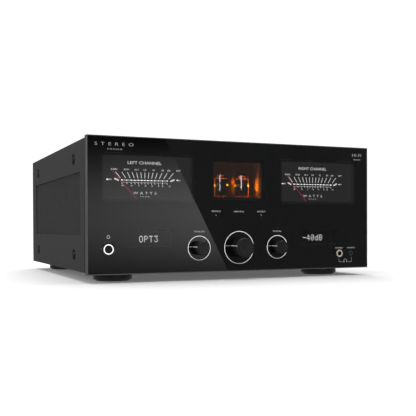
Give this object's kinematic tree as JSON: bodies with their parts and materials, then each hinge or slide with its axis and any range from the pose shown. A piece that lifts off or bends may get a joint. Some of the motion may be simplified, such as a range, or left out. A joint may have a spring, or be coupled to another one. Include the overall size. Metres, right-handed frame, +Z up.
{
  "type": "integrated amplifier",
  "caption": "Full-width hi-fi integrated amplifier: glossy black front with two needle meters, a valve window, knobs and headphone sockets, perforated cover and round feet.",
  "frame": {"origin": "on the floor, under the centre of the box round the whole amplifier", "axes": "+X to the right seen from the front, +Y to the rear, +Z up; the front panel faces -Y"},
  "size_m": [0.43, 0.446, 0.191],
  "materials": {
    "clear_plate": "clear, polished",
    "black_aluminium": "black anodised, satin",
    "black_plastic": "matt",
    "gloss_black": "gloss",
    "black_sheet": "fine texture powder coat",
    "rubber": "matt",
    "bright_steel": "bright",
    "white_line": "white",
    "knob_black": "black anodised, turned",
    "champagne": "champagne plated",
    "board_green": "solder mask",
    "display_glass": "dark display window",
    "dial": "dark dial",
    "needle_red": "red lacquer",
    "movement": "plain",
    "chamber_brown": "bronze",
    "valve_glass": "clear",
    "electrode": "dark grey",
    "amber_lamp": "lit amber",
    "ceramic": "cream ceramic",
    "copper": "lacquered copper windings",
    "can_blue": "sleeved",
    "gold": "gold plated",
    "red_plastic": "red"
  },
  "bodies": {
    "amplifier": {"front_glass": "clear_plate", "fascia": "black_aluminium", "front_frame": "black_plastic", "chassis_base": "black_sheet", "rear_panel": "black_sheet", "top_cover": "black_sheet", "side_grilles": "black_sheet", "top_grilles": "black_sheet", "feet": "gloss_black", "foot_pads": "rubber", "cover_screws": "bright_steel", "knob_rings": "white_line", "power_bezel": "bright_steel", "power_light_ring": "white_line", "power_switch": "black_plastic", "power_spring": "bright_steel", "headphone_jack": "champagne", "earphone_jack": "gloss_black", "headphone_board": "board_green", "displays": "display_glass", "meter_cases": "black_plastic", "meter_left_dial": "dial", "meter_right_dial": "dial", "meter_movements": "movement", "valve_chamber": "chamber_brown", "valve_left": "valve_glass", "valve_right": "valve_glass", "valve_electrodes": "electrode", "valve_lamps": "amber_lamp", "valve_sockets": "ceramic", "valve_board": "board_green", "control_board": "board_green", "encoders": "movement", "transformer": "copper", "transformer_clamp": "bright_steel", "power_board": "board_green", "filter_capacitors": "can_blue", "amplifier_boards": "board_green", "output_transistors": "black_plastic", "heatsinks": "black_aluminium", "input_board": "board_green", "phono_sockets": "gold", "optical_sockets": "black_plastic", "mains_inlet": "black_plastic", "mains_switch": "black_plastic", "speaker_posts": "gold"},
    "volume": {"volume_knob": "knob_black", "volume_shaft": "bright_steel"},
    "analog_selector": {"analog_knob": "knob_black", "analog_shaft": "bright_steel"},
    "digital_selector": {"digital_knob": "knob_black", "digital_shaft": "bright_steel"},
    "power_button": {"power_button": "gloss_black"},
    "left_needle": {"meter_left_needle": "needle_red"},
    "right_needle": {"meter_right_needle": "needle_red"},
    "mains_rocker": {"mains_rocker": "red_plastic"},
    "cap_1": {"post_cap_1": "gloss_black"},
    "cap_2": {"post_cap_2": "red_plastic"},
    "cap_3": {"post_cap_3": "gloss_black"},
    "cap_4": {"post_cap_4": "red_plastic"}
  },
  "joints": [
    {"name": "volume_turn", "type": "hinge", "parent": "amplifier", "child": "volume", "pos_m": [0, -0.2036, 0.044], "axis": [0, 1, 0], "continuous": true},
    {"name": "analog_turn", "type": "hinge", "parent": "amplifier", "child": "analog_selector", "pos_m": [-0.0603, -0.2036, 0.044], "axis": [0, 1, 0], "continuous": true},
    {"name": "digital_turn", "type": "hinge", "parent": "amplifier", "child": "digital_selector", "pos_m": [0.0603, -0.2036, 0.044], "axis": [0, 1, 0], "continuous": true},
    {"name": "power_press", "type": "slide", "parent": "amplifier", "child": "power_button", "axis": [0, 1, 0], "range_m": [0, 0.0015], "stiffness_N_per_m": 400, "springref_m": -0.002, "deforming": ["power_spring"]},
    {"name": "left_needle_swing", "type": "hinge", "parent": "amplifier", "child": "left_needle", "pos_m": [-0.131, -0.1865, 0.096], "axis": [0, 1, 0], "range_deg": [0, 84], "stiffness_Nm_per_rad": 0.0006, "springref_deg": -34.38},
    {"name": "right_needle_swing", "type": "hinge", "parent": "amplifier", "child": "right_needle", "pos_m": [0.131, -0.1865, 0.096], "axis": [0, 1, 0], "range_deg": [0, 84], "stiffness_Nm_per_rad": 0.0006, "springref_deg": -34.38},
    {"name": "mains_rock", "type": "hinge", "parent": "amplifier", "child": "mains_rocker", "pos_m": [-0.175, 0.203, 0.099], "axis": [1, 0, 0], "range_deg": [-24, 0]},
    {"name": "cap_1_turn", "type": "hinge", "parent": "amplifier", "child": "cap_1", "pos_m": [-0.078, 0.2073, 0.053], "axis": [0, 1, 0], "range_deg": [0, 720]},
    {"name": "cap_2_turn", "type": "hinge", "parent": "amplifier", "child": "cap_2", "pos_m": [-0.052, 0.2073, 0.053], "axis": [0, 1, 0], "range_deg": [0, 720]},
    {"name": "cap_3_turn", "type": "hinge", "parent": "amplifier", "child": "cap_3", "pos_m": [0.052, 0.2073, 0.053], "axis": [0, 1, 0], "range_deg": [0, 720]},
    {"name": "cap_4_turn", "type": "hinge", "parent": "amplifier", "child": "cap_4", "pos_m": [0.078, 0.2073, 0.053], "axis": [0, 1, 0], "range_deg": [0, 720]}
  ]
}
